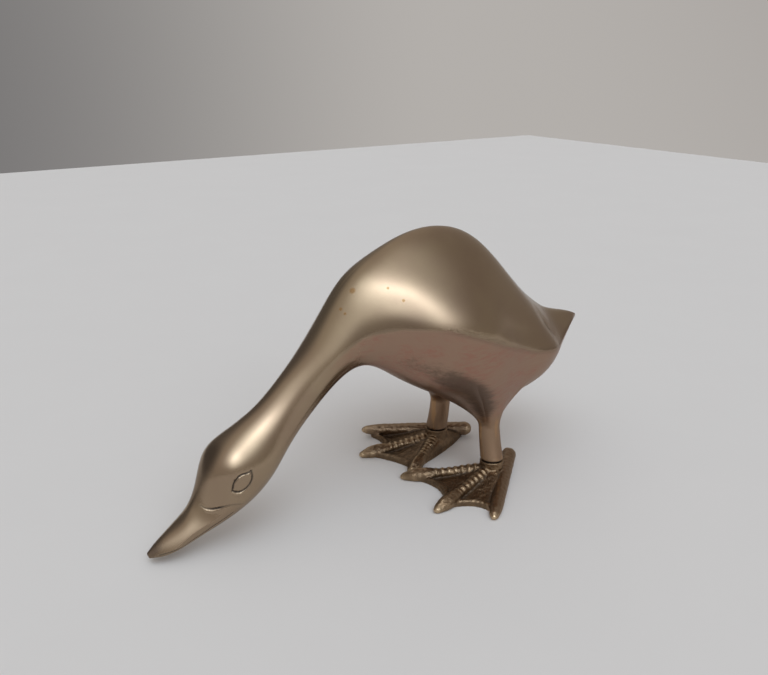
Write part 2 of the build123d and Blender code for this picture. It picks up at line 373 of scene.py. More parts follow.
# lines cut into the skin, each with its depth from one end to the other; a raised lip has a depth below 0
fineLine, darkDepth = 0.6, 0.34  # lines narrower than this are dark, and fully so at this depth
cutReach = 5  # no line is felt farther from its path
engraving = {
    "eyeTop": {"width": 0.42, "depth": (0.30, 0.34, 0.38, 0.34), "path": [
        (9.3, -52.0, 24.8), (9.3, -53.1, 24.4), (9.2, -54.2, 24.4), (9.1, -55.3, 24.1), (9.0, -56.2, 23.5),
        (8.8, -57.0, 22.6), (8.7, -57.4, 21.4), (8.6, -57.7, 19.9)]},
    "eyeBottom": {"width": 0.42, "depth": (0.30, 0.38, 0.38, 0.34), "path": [
        (9.3, -52.0, 24.8), (9.5, -51.9, 23.2), (9.5, -52.3, 21.7), (9.4, -53.2, 20.5), (9.3, -54.3, 19.7),
        (9.1, -55.7, 19.3), (8.9, -56.8, 19.5), (8.6, -57.7, 19.9)]},
    "eyeLip": {"width": 0.50, "depth": (-0.05, -0.24, -0.20, 0.0), "path": [
        (8.5, -57.9, 19.2), (8.8, -57.1, 18.7), (9.1, -55.7, 18.4), (9.2, -54.2, 18.9)]},
    "billLine": {"width": 0.46, "depth": (0.08, 0.16, 0.30, 0.36, 0.18, 0.12, 0.09, 0.05), "path": [
        (3.1, -65.1, 15.3), (4.2, -64.3, 14.7), (5.1, -63.3, 14.5), (6.1, -62.0, 14.6), (7.0, -60.5, 15.0),
        (8.1, -58.7, 15.5), (8.4, -56.7, 15.3), (8.0, -54.5, 14.7)]},
    "billLip": {"width": 0.50, "depth": (0.0, -0.12, -0.14, 0.0), "path": [
        (3.8, -64.8, 14.6), (4.8, -63.9, 13.9), (5.6, -62.9, 13.8), (6.5, -61.5, 13.9)]},
    "mouth": {"width": 0.50, "depth": (0.22, 0.30, 0.30, 0.28, 0.18), "path": [
        (7.4, -57.3, 12.6), (7.0, -58.7, 11.6), (6.4, -60.5, 10.4), (5.6, -63.1, 8.9), (5.0, -64.7, 7.7),
        (4.4, -68.1, 6.1), (4.1, -70.7, 4.9), (4.1, -73.3, 4.3), (3.7, -75.6, 4.0), (2.6, -77.6, 3.4)]},
    "tailHollow": {"width": 4.2, "depth": (0.1, 0.22, 0.22, 0.1), "path": [
        (11.5, 50.7, 53.9), (12.5, 51.5, 52.1), (13.1, 54.3, 48.6), (13.2, 57.1, 45.4), (13.9, 57.9, 43.6)]},
    "tailLine": {"width": 0.55, "depth": (0.0, 0.16, 0.16, 0.0), "path": [
        (12.5, 51.5, 52.1), (13.1, 54.3, 48.6), (13.2, 57.1, 45.4)]},
}
legForm = {
    "x": 15.0, "y": 30.6, "seat": 6.3,
    # rings up the leg: height, inward lean, diameter
    "rings": [(8.6, 0.1, 7.4), (12.0, 0.9, 7.1), (19.0, 2.0, 6.8)],
    # rounded end of the leg and its spigot: radius and height
    "end": [(3.62, 8.35), (3.4, 8.15), (3.1, 8.05), (2.9, 8.05), (2.9, 6.3)],
    "rootY": (15.5, 43.0), "rootX": (3.6, 19.6),  # block of the belly that flows into the leg
    "flare": 1.25,  # how far the flow follows the belly
    "bridgeRows": 26, "rows": 22,
    "hole": (1.55, 12.35),  # radius and top of the tapped hole
}


def sectionPoles(section, inset):
    # control points of one section's two curves, from the back to the wing's edge and on to the belly
    (backY, backZ), (bellyY, bellyZ), halfWidth, edgeAngle, (rise, crown, shoulder, flank, keel) = section
    back, belly = np.array([0, backY, backZ]), np.array([0, bellyY, bellyZ])
    up = unit(back - belly)
    top, bottom = back - up * inset, belly + up * inset
    side = np.array([halfWidth - inset, 0, 0])
    widest = (top + bottom) / 2 + up * rise + side
    over, under = (top - widest).dot(up) * shoulder, (widest - bottom).dot(up) * flank
    slope = np.array([over * math.tan(math.radians(edgeAngle)), 0, 0])
    return [top, top + side * crown, widest + up * over - slope, widest,
            widest - up * under, bottom + side * keel, bottom]


def skin(stations, places, columns, inset=0.0):
    poles = np.array([sectionPoles(s, inset) for s in bodyForm["sections"]])
    poles = splineThrough(stations, poles, places)
    t = np.linspace(0, 1, columns // 2 + 1)[None, :, None]

    def bend(a, b, c, d):
        return (1 - t) ** 3 * a + 3 * (1 - t) ** 2 * t * b + 3 * (1 - t) * t * t * c + t ** 3 * d

    upper = bend(*(poles[:, i, None] for i in range(4)))
    lower = bend(*(poles[:, i, None] for i in range(3, 7)))
    return np.concatenate([upper, lower[:, 1:]], axis=1)


def outwards(grid):
    normals = unit(np.cross(np.gradient(grid, axis=1), np.gradient(grid, axis=0)))
    normals[:, [0, -1], 0] = 0
    return unit(normals)


def bodyStations():
    middles = np.array([(np.array(s[0]) + np.array(s[1])) / 2 for s in bodyForm["sections"]])
    stations = lengthsAlong(middles)
    neck = stations[bodyForm["fineTo"]]
    fine = np.linspace(0, neck, round(neck / bodyForm["fineStep"]), endpoint=False)
    rest = np.linspace(neck, stations[-1], round((stations[-1] - neck) / bodyForm["step"]) + 1)
    return stations, np.concatenate([fine, rest])


def swell(grid):
    # raises the rolls, each fading on both sides of its path
    points, push = grid.reshape(-1, 3), outwards(grid).reshape(-1, 3)
    rise = np.zeros(len(points))
    for roll in bodyForm["rolls"]:
        path = pathThrough(roll["path"], spacing=0.5)
        heights = alongPath(roll["heights"], np.linspace(0, 1, len(path)))
        gaps = ((points[:, None] - path[None]) ** 2).sum(axis=2)
        nearest = gaps.min(axis=1)
        weights = np.exp((nearest[:, None] - gaps) / bodyForm["rollBlend"] ** 2)
        height = (weights * heights).sum(axis=1) / weights.sum(axis=1)
        rise += height * np.exp(-nearest / roll["width"] ** 2)
    return (points + push * rise[:, None]).reshape(grid.shape)


def engrave(grid):
    # presses the lines into the skin, and returns how dark each point is from lying in one
    points, push = grid.reshape(-1, 3).copy(), outwards(grid).reshape(-1, 3)
    carved = np.zeros(len(points))
    for line in engraving.values():
        path = pathThrough(line["path"])
        low, high = path.min(axis=0) - cutReach, path.max(axis=0) + cutReach
        near = np.nonzero(((points > low) & (points < high)).all(axis=1))[0]
        path = np.array([points[near][np.argmin(((points[near] - p) ** 2).sum(axis=1))] for p in path])
        away, share = nearestOn(path, points[near])
        depths = alongPath(line["depth"], share)
        groove = fade(away, 0.0, line["width"])
        points[near] -= push[near] * (groove * depths)[:, None]
        if line["width"] < fineLine:
            dark = smoothStep(groove, 0.15, 0.75) * np.clip(depths / darkDepth, 0, 1)
            carved[near] = np.maximum(carved[near], dark)
    return points.reshape(grid.shape), carved.reshape(grid.shape[:2])


def tipRows(grid, end):
    # rounds off the bill or the tail, from its end section to a point
    section, inner = (grid[0], grid[3]) if end == "bill" else (grid[-1], grid[-4])
    centre = (section[0] + section[-1]) / 2
    outward = unit(centre - (inner[0] + inner[-1]) / 2)
    angles = np.linspace(0, math.pi / 2, bodyForm["tipRows"] + 1)[1:-1]
    depth = bodyForm["tipDepth"]
    rows = [centre + (section - centre) * math.cos(a) + outward * depth * math.sin(a) for a in angles]
    return np.array(rows), centre + outward * depth


def legRings(loop, normals):
    # curves from the edge of the block down to the leg's waist, then the leg, its end and its hole
    x, y = legForm["x"], legForm["y"]
    heights, inwards, diameters = np.array(legForm["rings"]).T
    waist = np.array([x - inwards[-1], y, heights[-1]])
    angles = np.arctan2(loop[:, 1] - waist[1], loop[:, 0] - waist[0])
    ring = np.stack([np.cos(angles), np.sin(angles), np.zeros_like(angles)], axis=1)
    foot = waist + ring * diameters[-1] / 2
    across = foot - loop
    along = across - normals * (across * normals).sum(axis=1, keepdims=True)
    start = unit(along) * np.linalg.norm(across[:, :2], axis=1, keepdims=True) * legForm["flare"]
    finish = np.array([0, 0, -1.0]) * (loop[:, 2:] - foot[:, 2:])
    rows = []
    for t in np.linspace(0, 1, legForm["bridgeRows"] + 1)[1:]:
        rows.append((2 * t ** 3 - 3 * t ** 2 + 1) * loop + (t ** 3 - 2 * t ** 2 + t) * start
                    + (3 * t ** 2 - 2 * t ** 3) * foot + (t ** 3 - t ** 2) * finish)
    shape = np.array([inwards, diameters]).T
    for z in np.linspace(heights[-1], heights[0], legForm["rows"] + 1)[1:]:
        lean, size = splineThrough(heights, shape, np.array([z]))[0]
        rows.append(np.array([x - lean, y, z]) + ring * size / 2)
    radius, top = legForm["hole"]
    seat = legForm["seat"]
    for size, z in legForm["end"] + [(radius + 0.5, seat), (radius, seat), (radius, top)]:
        rows.append(np.array([x, y, z]) + ring * size)
    return rows, np.array([x, y, top])


def bodyHalf():
    stations, places = bodyStations()
    grid = swell(skin(stations, places, bodyForm["columns"]))
    grid, carved = engrave(grid)
    billRows, billPole = tipRows(grid, "bill")
    tailRows, tailPole = tipRows(grid, "tail")
    normals = np.concatenate([np.zeros_like(billRows), outwards(grid), np.zeros_like(tailRows)])
    grid = np.concatenate([billRows[::-1], grid, tailRows])
    before = len(billRows)
    carved = np.pad(carved, ((before, len(tailRows)), (0, 0)))
    rows, columns = grid.shape[:2]
    last = columns - 1

    # block of the belly that makes way for the leg
    keel = np.abs(grid[before:, -1, 1, None] - (legForm["y"], *legForm["rootY"]))
    middle, i0, i1 = keel.argmin(axis=0) + before
    lowerHalf = np.arange(columns // 2, columns)
    j1, j0 = (lowerHalf[np.argmin(np.abs(grid[middle, lowerHalf, 0] - v))] for v in legForm["rootX"])
    used = np.ones((rows, columns), bool)
    used[i0 + 1:i1, j0 + 1:j1] = False
    index = np.cumsum(used.ravel()).reshape(rows, columns) - 1
    vertices = list(grid[used])
    masks = {"carved": list(carved[used])}
    faces = []
    for i in range(rows - 1):
        for j in range(columns - 1):
            if not (i0 <= i < i1 and j0 <= j < j1):
                faces.append((index[i, j], index[i, j + 1], index[i + 1, j + 1], index[i + 1, j]))

    def addRow(points):
        start = len(vertices)
        vertices.extend(points)
        masks["carved"].extend([0.0] * len(points))
        return list(range(start, start + len(points)))

    # leg
    edge = [(i0, j) for j in range(j0, j1)] + [(i, j1) for i in range(i0, i1)]
    edge += [(i1, j) for j in range(j1, j0, -1)] + [(i, j0) for i in range(i1, i0, -1)]
    edge = tuple(np.array(edge).T)
    rings, pole = legRings(grid[edge], normals[edge])
    above = list(index[edge])
    for ring in rings:
        below = addRow(ring)
        for k in range(len(above)):
            n = (k + 1) % len(above)
            faces.append((above[k], above[n], below[n], below[k]))
        above = below
    tip = addRow([pole])[0]
    faces.extend((above[k], above[(k + 1) % len(above)], tip) for k in range(len(above)))

    # rounded ends
    bill, tail = addRow([billPole])[0], addRow([tailPole])[0]
    faces.extend((bill, index[0, j + 1], index[0, j]) for j in range(last))
    faces.extend((tail, index[-1, j], index[-1, j + 1]) for j in range(last))

    # flat face on the mid-plane, round the cavity
    first, final = (np.argmin(np.abs(places - stations[k])) for k in bodyForm["hollow"])
    inner = skin(stations, places[first:final + 1], bodyForm["innerColumns"], bodyForm["wall"])
    inside = np.array([addRow(row) for row in inner])
    first, final = first + before, final + before
    faces.append((bill, index[0, 0], index[0, last]))
    faces.append((index[-1, 0], tail, index[-1, last]))
    for i in range(rows - 1):
        top, nextTop, low, nextLow = index[i, 0], index[i + 1, 0], index[i, last], index[i + 1, last]
        if first <= i < final:
            a, b = inside[i - first], inside[i + 1 - first]
            faces.extend([(top, nextTop, b[0], a[0]), (a[-1], b[-1], nextLow, low)])
            faces.extend((a[j], b[j], b[j + 1], a[j + 1]) for j in range(len(a) - 1))
        elif i == first - 1:
            faces.append((top, nextTop, inside[0][0], inside[0][-1], nextLow, low))
        elif i == final:
            faces.append((top, nextTop, nextLow, low, inside[-1][-1], inside[-1][0]))
        else:
            faces.append((top, nextTop, nextLow, low))
    faces.append(tuple(inside[0]))
    faces.append(tuple(inside[-1][::-1]))
    return np.array(vertices), faces, masks


# marks on the skin, full and gone at two distances from a path: dirt and painted shade from the breast down
# to the leg, and painted shade along the top of the head and under the neck
bodyMarks = {
    "dirt": {"fades": (0.5, 7.0), "path": [
        (15.7, -2.5, 48.1), (17.9, 1.6, 45.6), (19.8, 6.2, 43.0), (21.0, 11.0, 40.5),
        (21.3, 15.8, 37.6), (19.8, 20.3, 33.4), (15.3, 26.2, 27.4)]},
    "crown": {"fades": (1.2, 4.6), "path": [(0, -66.0, 17.0), (0, -62.6, 24.0), (0, -59.6, 28.4)]},
    "throat": {"fades": (3.0, 6.5), "path": [
        (0, -36.5, 26.0), (0, -30.5, 34.0), (0, -24.5, 42.0), (0, -17.0, 47.5), (0, -8.0, 48.0)]},
}
# the bill's tip gets painted shade through both the dirt and the dull marks
billTip = {"at": (0, -79.0, 4.8), "tipShadeFades": (1.0, 5.0), "tipDullShadeFades": (1.0, 6.5)}
# spans of the other marks: heights above the wing's edge, or above the floor for the leg, and places in y
bodyZones = {
    "bellyTop": (-0.7, 0.5), "bellyFront": (-30, -8),
    "shoulderHeight": (-0.3, 0.6, 2.0, 6.5), "shoulderPlace": (-26, -16, -4, 6),
    "rimWidth": (0.4, 1.4), "rimFront": (0, 10),
    "pitsHeight": 0.8, "pitsWidth": (0.3, 1.5), "pitsPlace": (2, 6, 18, 30),
    "legTop": (20, 27), "legFront": (5, 12), "legShadeAtCollar": (8.2, 8.6),
}


def bodyMasks(points, masks):
    # where the belly is brushed, where the skin is dirty or pitted, where shade is painted on, and the legs
    y, z = points.T[1:]
    zone = bodyZones
    wing = np.array([sectionPoles(section, 0)[3] for section in bodyForm["sections"]])
    above = z - np.interp(y, wing[:, 1], wing[:, 2])  # height above the wing's edge
    masks["belly"] = fade(above, *zone["bellyTop"]) * smoothStep(y, *zone["bellyFront"])
    marked, shares = {}, {}
    for name, mark in bodyMarks.items():
        away, shares[name] = nearestOn(pathThrough(mark["path"], spacing=0.5), points)
        marked[name] = fade(away, *mark["fades"])
    tip = np.linalg.norm(points - billTip["at"], axis=1)
    breast = marked["dirt"] * (0.4 + 0.6 * smoothStep(shares["dirt"], 0.05, 0.5))  # fainter where it starts
    masks["dirty"] = np.maximum(breast, 0.8 * fade(tip, *billTip["tipShadeFades"]))
    # painted shade: the fold under the shoulder's roll, the wing's edge, the top of the head, the bill's tip
    # and the underside of the neck all go into the dull mark
    shoulder = within(above, *zone["shoulderHeight"]) * within(y, *zone["shoulderPlace"])
    rim = fade(np.abs(above), *zone["rimWidth"]) * smoothStep(y, *zone["rimFront"])
    head = np.maximum(0.9 * marked["crown"], 0.8 * fade(tip, *billTip["tipDullShadeFades"]))
    masks["dull"] = np.max([head, 0.9 * marked["throat"], 0.8 * shoulder, 0.5 * rim], axis=0)
    pits = fade(np.abs(above - zone["pitsHeight"]), *zone["pitsWidth"])
    masks["ridge"] = pits * within(y, *zone["pitsPlace"])
    masks["leg"] = fade(z, *zone["legTop"]) * smoothStep(y, *zone["legFront"])
    # the leg's end just above the collar gets the groove colour: a painted shadow ring where it enters the
    # socket
    masks["carved"] = np.maximum(masks["carved"], masks["leg"] * fade(z, *zone["legShadeAtCollar"]))
    return masks


bodyBrass = makeBodyBrass(bodyBrassLook)
halfPoints, halfFaces, halfMasks = bodyHalf()
halfMasks = bodyMasks(halfPoints, halfMasks)
leftBody = makePiece("bodyLeft", halfPoints, halfFaces, bodyBrass, halfMasks)
turnedFaces = [face[::-1] for face in halfFaces]
rightBody = makePiece("bodyRight", halfPoints * (-1, 1, 1), turnedFaces, bodyBrass, halfMasks)
dress(leftBody, "body_left_half")
dress(rightBody, "body_right_half")


# feet

footForm = {
    "collarHeight": 7.8, "collarRadius": 3.9, "collarRootRadius": 3.6,
    "socketRadius": 3.05, "socketDepth": 1.5,
    "webThickness": 1.2, "webRise": 5.4, "webReach": 19.0, "innerWebReach": 4.4, "toeOverhang": 3.5,
    "webRim": 0.95, "rimInset": 1.0, "rimHalfWidth": 1.1,  # rounded rim that stands above the web
    "webHollow": 1.6, "webFlat": (-1.5, 4),  # how hollow its slope is, and where it starts
    "toeRootHeight": 4.4, "toeFlatness": 0.84,
    # values that the ribbed toe's nodes take
    "toe": {"Radius": 2.5, "Rib Count": 7, "Rib Height": 0.5, "Rib Thickness": 1.25,
            "Rib Start": 0.17, "Rib End": 0.60},
    # ridge on a toe's pad, and the shares of the toe's length where it rises and falls
    "padRidge": 0.45, "padRidgeWidth": 0.6, "padSpan": (0.62, 0.72, 0.88, 1.0),
    # share of the toe's length and of its radius
    "toeOutline": [(0, 0.92), (0.15, 0.86), (0.58, 0.66), (0.66, 0.90),
                   (0.78, 1.00), (0.90, 0.76), (1, 0.06)],
    "hindRadius": 2.5, "outerRadius": 2.1,
    # distance from the outer toe's tip and share of its radius
    "outerTaper": [(8.0, 1.0), (4.0, 0.88), (1.6, 0.66), (0.5, 0.38), (0.0, 0.06)],
    "countersink": (2.95, 1.65, 0.3),  # head radius, shank radius and recess of the screw hole
    "voxel": 0.24, "castGrain": 0.16, "grainScales": (0.9, 2.1),
    "wear": (12, 3, 1.6),  # rounds of averaging, the same to soften it, and strength
    "soleHeight": 0.06,  # what lies lower is pressed flat
    # toe tips: outwards and forwards from the leg, and height
    "left": {"inner": (-17.2, 24.6, 0.9), "middle": (7.4, 28.8, 0.9),
             "outer": (20.6, 16.6, 1.0), "hind": (-8.2, -15.2, 3.0)},
    "right": {"inner": (-12.4, 20.3, 0.9), "middle": (8.0, 27.4, 0.9),
              "outer": (21.6, 17.8, 3.0), "hind": (0.4, -16.4, 3.0)},
}


def makeToeTree():
    # a tapering toe along a path, with ribs across its first part
    tree = bpy.data.node_groups.new("ribbedToe", "GeometryNodeTree")
    panel = tree.interface
    panel.new_socket("Geometry", in_out="INPUT", socket_type="NodeSocketGeometry")
    for name, value in footForm["toe"].items():
        kind = "NodeSocketInt" if isinstance(value, int) else "NodeSocketFloat"
        panel.new_socket(name, in_out="INPUT", socket_type=kind)
    panel.new_socket("Material", in_out="INPUT", socket_type="NodeSocketMaterial")
    panel.new_socket("Geometry", in_out="OUTPUT", socket_type="NodeSocketGeometry")
    s = Sheet(tree)
    given = s.add("NodeGroupInput").socket.node.outputs
    given = {socket.name: Value(s, socket) for socket in given if socket.name}
    path = s.add("GeometryNodeMeshToCurve", {}, {"Mesh": given["Geometry"]})
    path = s.add("GeometryNodeResampleCurve", {}, {"Curve": path, "Count": 90})
    along = s.add("GeometryNodeSplineParameter")
    outline = s.add("ShaderNodeFloatCurve", {"outline": footForm["toeOutline"]}, {"Value": along})
    path = s.add("GeometryNodeSetCurveRadius", {}, {"Curve": path, "Radius": outline * given["Radius"]})
    radius = s.add("GeometryNodeInputRadius")
    circle = s.add("GeometryNodeCurvePrimitiveCircle", {}, {"Resolution": 32, "Radius": 1.0})
    sockets = {"Curve": path, "Profile Curve": circle, "Scale": radius, "Fill Caps": True}
    toe = s.add("GeometryNodeCurveToMesh", {}, sockets)
    sockets = {"Curve": path, "Start": given["Rib Start"], "End": given["Rib End"]}
    stretch = s.add("GeometryNodeTrimCurve", {}, sockets)
    sockets = {"Curve": stretch, "Count": given["Rib Count"]}
    points = s.add("GeometryNodeCurveToPoints", {"mode": "COUNT"}, sockets)
    turn = Value(s, points.socket.node.outputs["Rotation"])
    rib = s.add("GeometryNodeMeshUVSphere", {}, {"Segments": 32, "Rings": 16, "Radius": 1.0})
    height = given["Rib Height"]  # most of it upwards, and some to the sides
    sockets = {"X": radius + 0.3 * height, "Y": radius + height, "Z": given["Rib Thickness"]}
    size = s.add("ShaderNodeCombineXYZ", {}, sockets)
    sockets = {"Points": points, "Instance": rib, "Rotation": turn, "Scale": size}
    ribs = s.add("GeometryNodeInstanceOnPoints", {}, sockets)
    whole = s.add("GeometryNodeJoinGeometry", {}, {"Geometry": [toe, ribs]})
    whole = s.add("GeometryNodeRealizeInstances", {}, {"Geometry": whole})
    whole = s.add("GeometryNodeSetMaterial", {}, {"Geometry": whole, "Material": given["Material"]})
    s.add("NodeGroupOutput", {}, {"Geometry": whole})
    return tree


def plainMesh(thing):
    bpy.context.view_layer.update()
    made = bpy.data.meshes.new_from_object(thing.evaluated_get(bpy.context.evaluated_depsgraph_get()))
    old = thing.data
    thing.modifiers.clear()
    thing.data = made
    bpy.data.meshes.remove(old)
    return made


def readMesh(mesh):
    points = np.zeros(len(mesh.vertices) * 3)
    mesh.vertices.foreach_get("co", points)
    return points.reshape(-1, 3), [tuple(p.vertices) for p in mesh.polygons]


def scratchObject(name, points, faces, edges=()):
    mesh = bpy.data.meshes.new(name)
    mesh.from_pydata(np.asarray(points, float).tolist(), list(edges), list(faces))
    thing = bpy.data.objects.new(name, mesh)
    scene.collection.objects.link(thing)
    return thing


def dropObject(thing):
    mesh = thing.data
    bpy.data.objects.remove(thing)
    bpy.data.meshes.remove(mesh)


def ribbedToe(tree, tip, material):
    form = footForm
    thing = scratchObject("toePath", [(0, 0, form["toeRootHeight"]), tip], [], [(0, 1)])
    modifier = thing.modifiers.new("ribbedToe", "NODES")
    modifier.node_group = tree
    values = {**form["toe"], "Material": material}
    for socket in tree.interface.items_tree:
        if socket.in_out == "INPUT" and socket.name in values:
            modifier[socket.identifier] = values[socket.name]
    points, faces = readMesh(plainMesh(thing))
    dropObject(thing)
    # a toe is a little flat, with a ridge along its pad
    root, tip = np.array([0, 0, form["toeRootHeight"]]), np.array(tip)
    share = np.clip((points - root) @ (tip - root) / (tip - root).dot(tip - root), 0, 1)
    axis = root + share[:, None] * (tip - root)
    aside = (points - axis) @ unit(np.cross(tip - root, (0, 0, 1)))
    ridge = form["padRidge"] * within(share, *form["padSpan"]) * np.exp(-(aside / form["padRidgeWidth"]) ** 2)
    points[:, 2] = axis[:, 2] + (points[:, 2] - axis[:, 2]) * form["toeFlatness"] + ridge
    return points, faces


def lathe(outline, start, end, sides=40):
    # turns (distance, radius) pairs about the line from start to end, closed at both ends
    start, end = np.array(start, float), np.array(end, float)
    along = unit(end - start)
    across = unit(np.cross(along, (0.31, 0.17, 0.93)))  # no piece lies along this line
    other = np.cross(along, across)
    angles = np.linspace(0, 2 * math.pi, sides, endpoint=False)[:, None]
    ring = np.cos(angles) * across + np.sin(angles) * other
    rings = [start + along * d + r * ring for d, r in outline]
    points = np.concatenate(rings)
    faces = []
    for i in range(len(rings) - 1):
        for k in range(sides):
            n = (k + 1) % sides
            faces.append((i * sides + k, i * sides + n, (i + 1) * sides + n, (i + 1) * sides + k))
    faces.append(tuple(range(sides))[::-1])
    faces.append(tuple(range((len(rings) - 1) * sides, len(rings) * sides)))
    return points, faces


def roundBar(hind, outer):
    # one bar makes the hind toe, with a ball end, and the outer toe, which tapers
    length = np.linalg.norm(np.array(outer) - np.array(hind))
    a, b = footForm["hindRadius"], footForm["outerRadius"]
    turn = np.radians((4, 20, 40, 60, 80))
    outline = [(a - a * math.cos(t), a * math.sin(t)) for t in turn]
    outline += [(length - ahead, b * share) for ahead, share in footForm["outerTaper"]]
    return lathe(outline, hind, outer)


def webFan(tips):
    # the web as a fan from the leg's axis out to its scalloped rim, thin at the rim and rising to the collar
    form = footForm
    inner, middle, outer, hind = (np.array(t[:2]) for t in tips)
    alongBar = unit(outer - hind)
    corners = [p - unit(p) * form["toeOverhang"] for p in (inner, middle)]
    corners += [outer - alongBar * form["toeOverhang"], hind + alongBar * form["toeOverhang"]]
    reaches = (form["webReach"], form["webReach"], None, form["innerWebReach"])
    t = np.linspace(0, 1, 26)[:-1, None]  # along an edge
    rim = []
    for one, other, reach in zip(corners, corners[1:] + corners[:1], reaches):
        middleOf = (one + other) / 2 if reach is None else unit(unit(one) + unit(other)) * reach
        dip = 2 * middleOf - (one + other) / 2
        rim.extend((1 - t) ** 2 * one + 2 * t * (1 - t) * dip + t ** 2 * other)
    rim = np.array(rim)
    shares = np.linspace(0, 1, 40)[1:]  # outwards
    count, steps = len(rim), len(shares)
    points = []
    for share in shares:
        flat = rim * share
        reach = np.linalg.norm(flat, axis=1)
        inside = np.linalg.norm(rim, axis=1) * (1 - share)
        slope = np.clip((reach - form["collarRadius"]) / (form["webReach"] - form["collarRadius"]), 0, 1)
        rise = (form["webRise"] - form["webThickness"]) * (1 - slope) ** form["webHollow"]
        rise = rise * smoothStep(inside, *form["webFlat"])
        edge = np.clip(1 - ((inside - form["rimInset"]) / form["rimHalfWidth"]) ** 2, 0, 1)
        edge = form["webRim"] * np.sqrt(edge)
        points.append(np.column_stack([flat, form["webThickness"] + rise + edge]))
    points = np.concatenate(points + [[(0, 0, form["webRise"])]])
    under = points * (1, 1, 0)
    total = len(points)
    faces = []
    for k in range(count):
        n = (k + 1) % count
        faces += [(total - 1, n, k)[::-1], (2 * total - 1, k + total, n + total)[::-1]]
        for s in range(steps - 1):
            a, b, c, d = s * count + k, s * count + n, (s + 1) * count + n, (s + 1) * count + k
            faces += [(a, b, c, d), (a + total, d + total, c + total, b + total)]
        a, b = (steps - 1) * count + k, (steps - 1) * count + n
        faces.append((a, b, b + total, a + total))
    return np.concatenate([points, under]), faces


def cutter(outline, base):
    points, faces = lathe(outline, base, np.array(base) + (0, 0, 1), sides=64)
    return scratchObject("cutter", points, faces)


def wear(mesh, points, normals):
    # 0.5 on flat metal, more on ridges that get rubbed, less in hollows
    reach, softening, strength = footForm["wear"]
    ends = np.zeros(len(mesh.edges) * 2, int)
    mesh.edges.foreach_get("vertices", ends)
    a, b = ends.reshape(-1, 2).T
    count = np.bincount(ends, minlength=len(points))[:, None]

    def average(values):
        total = np.zeros_like(values)
        np.add.at(total, a, values[b])
        np.add.at(total, b, values[a])
        return total / np.maximum(count, 1)

    flat = points.copy()
    for _ in range(reach):
        flat = average(flat)
    rise = ((points - flat) * normals).sum(axis=1, keepdims=True)
    for _ in range(softening):
        rise = average(rise)
    return np.clip(0.5 + rise[:, 0] * strength, 0, 1)


def castFoot(tips, tree, material, place, turn):
    # toes, bar, web and collar melted into one skin
    form = footForm
    inner, middle, outer, hind = tips
    height, radius = form["collarHeight"], form["collarRadius"]
    outline = [(0, form["collarRootRadius"]), (height - 0.5, radius - 0.05),
               (height - 0.15, radius - 0.05), (height, radius - 0.25)]  # its rim is rounded off
    collar = lathe(outline, (0, 0, 0), (0, 0, 1))
    parts = [ribbedToe(tree, inner, material), ribbedToe(tree, middle, material),
             roundBar(hind, outer), webFan(tips), collar]
    points, faces, start = [], [], 0
    for partPoints, partFaces in parts:
        points.append(partPoints)
        faces += [tuple(v + start for v in f) for f in partFaces]
        start += len(partPoints)
    points = np.concatenate(points)
    points[:, 2] = np.maximum(points[:, 2], 0)
    thing = scratchObject("cast", (points + place) * turn, faces)
    remesh = thing.modifiers.new("cast", "REMESH")
    remesh.mode = "VOXEL"
    remesh.voxel_size = form["voxel"]
    smooth = thing.modifiers.new("soften", "SMOOTH")
    smooth.factor = 0.5
    smooth.iterations = 3
    plainMesh(thing)
    return thing


def boreFoot(thing, base):
    # cuts the leg's socket from above and the screw's countersunk hole from below, each past the casting
    socket, depth = footForm["socketRadius"], footForm["socketDepth"]
    head, shank, recess = footForm["countersink"]
    cutters = [
        cutter([(0, socket), (3, socket)], base + (0, 0, footForm["collarHeight"] - depth)),
        cutter([(-1, head), (recess, head), (recess + head - shank, shank), (9, shank)], base),
    ]
    for tool in cutters:
        cut = thing.modifiers.new("cut", "BOOLEAN")
        cut.operation = "DIFFERENCE"
        cut.object = tool
        cut.solver = "EXACT"
    mesh = plainMesh(thing)
    for tool in cutters:
        dropObject(tool)
    return mesh


def footMasks(local, tips, worn):
    # worn ridges, lines that fan out over the web, the web itself, and the bar
    inner, middle, outer, hind = tips
    root = (0, 0, footForm["toeRootHeight"])
    onToe = np.minimum(*(nearestOn(np.linspace(root, tip, 60), local)[0] for tip in (inner, middle)))
    onBar = nearestOn(np.linspace(hind, outer, 80), local)[0]
    onLeg = np.hypot(local[:, 0], local[:, 1])
    return {
        "worn": 0.5 + (worn - 0.5) * (1 - 0.75 * fade(onLeg, 4.0, 5.0)),
        "fan": np.arctan2(local[:, 0], -local[:, 1]),
        "bar": fade(onBar, 2.4, 3.0),
        "web": smoothStep(np.minimum(np.minimum(onToe, onBar), onLeg - 2.5), 2.4, 3.2),
    }


def makeFoot(name, side, tree, material):
    turn = np.array([1 if side == "left" else -1, 1, 1])
    place = np.array([legForm["x"], legForm["y"], 0])
    tips = [(out, -ahead, height) for out, ahead, height in footForm[side].values()]
    thing = castFoot(tips, tree, material, place, turn)
    mesh = boreFoot(thing, place * turn)
    points, faces = readMesh(mesh)
    normals = np.array([v.normal for v in mesh.vertices])
    worn = wear(mesh, points, normals)
    # cast grain, weaker on worn ridges, and none at the flat sole
    coarse, fine = footForm["grainScales"]
    grain = [noise.noise(Vector(p) * coarse) + 0.5 * noise.noise(Vector(p) * fine) for p in points]
    grain = np.array(grain) * footForm["castGrain"] * smoothStep(points[:, 2], 0.1, 0.6)
    points = points + normals * (grain * (1 - 0.6 * smoothStep(worn, 0.5, 0.8)))[:, None]
    points[points[:, 2] < footForm["soleHeight"], 2] = 0
    masks = footMasks(points * turn - place, tips, worn)
    dropObject(thing)
    return makePiece(name, points, faces, material, masks, sharpAngle=50)


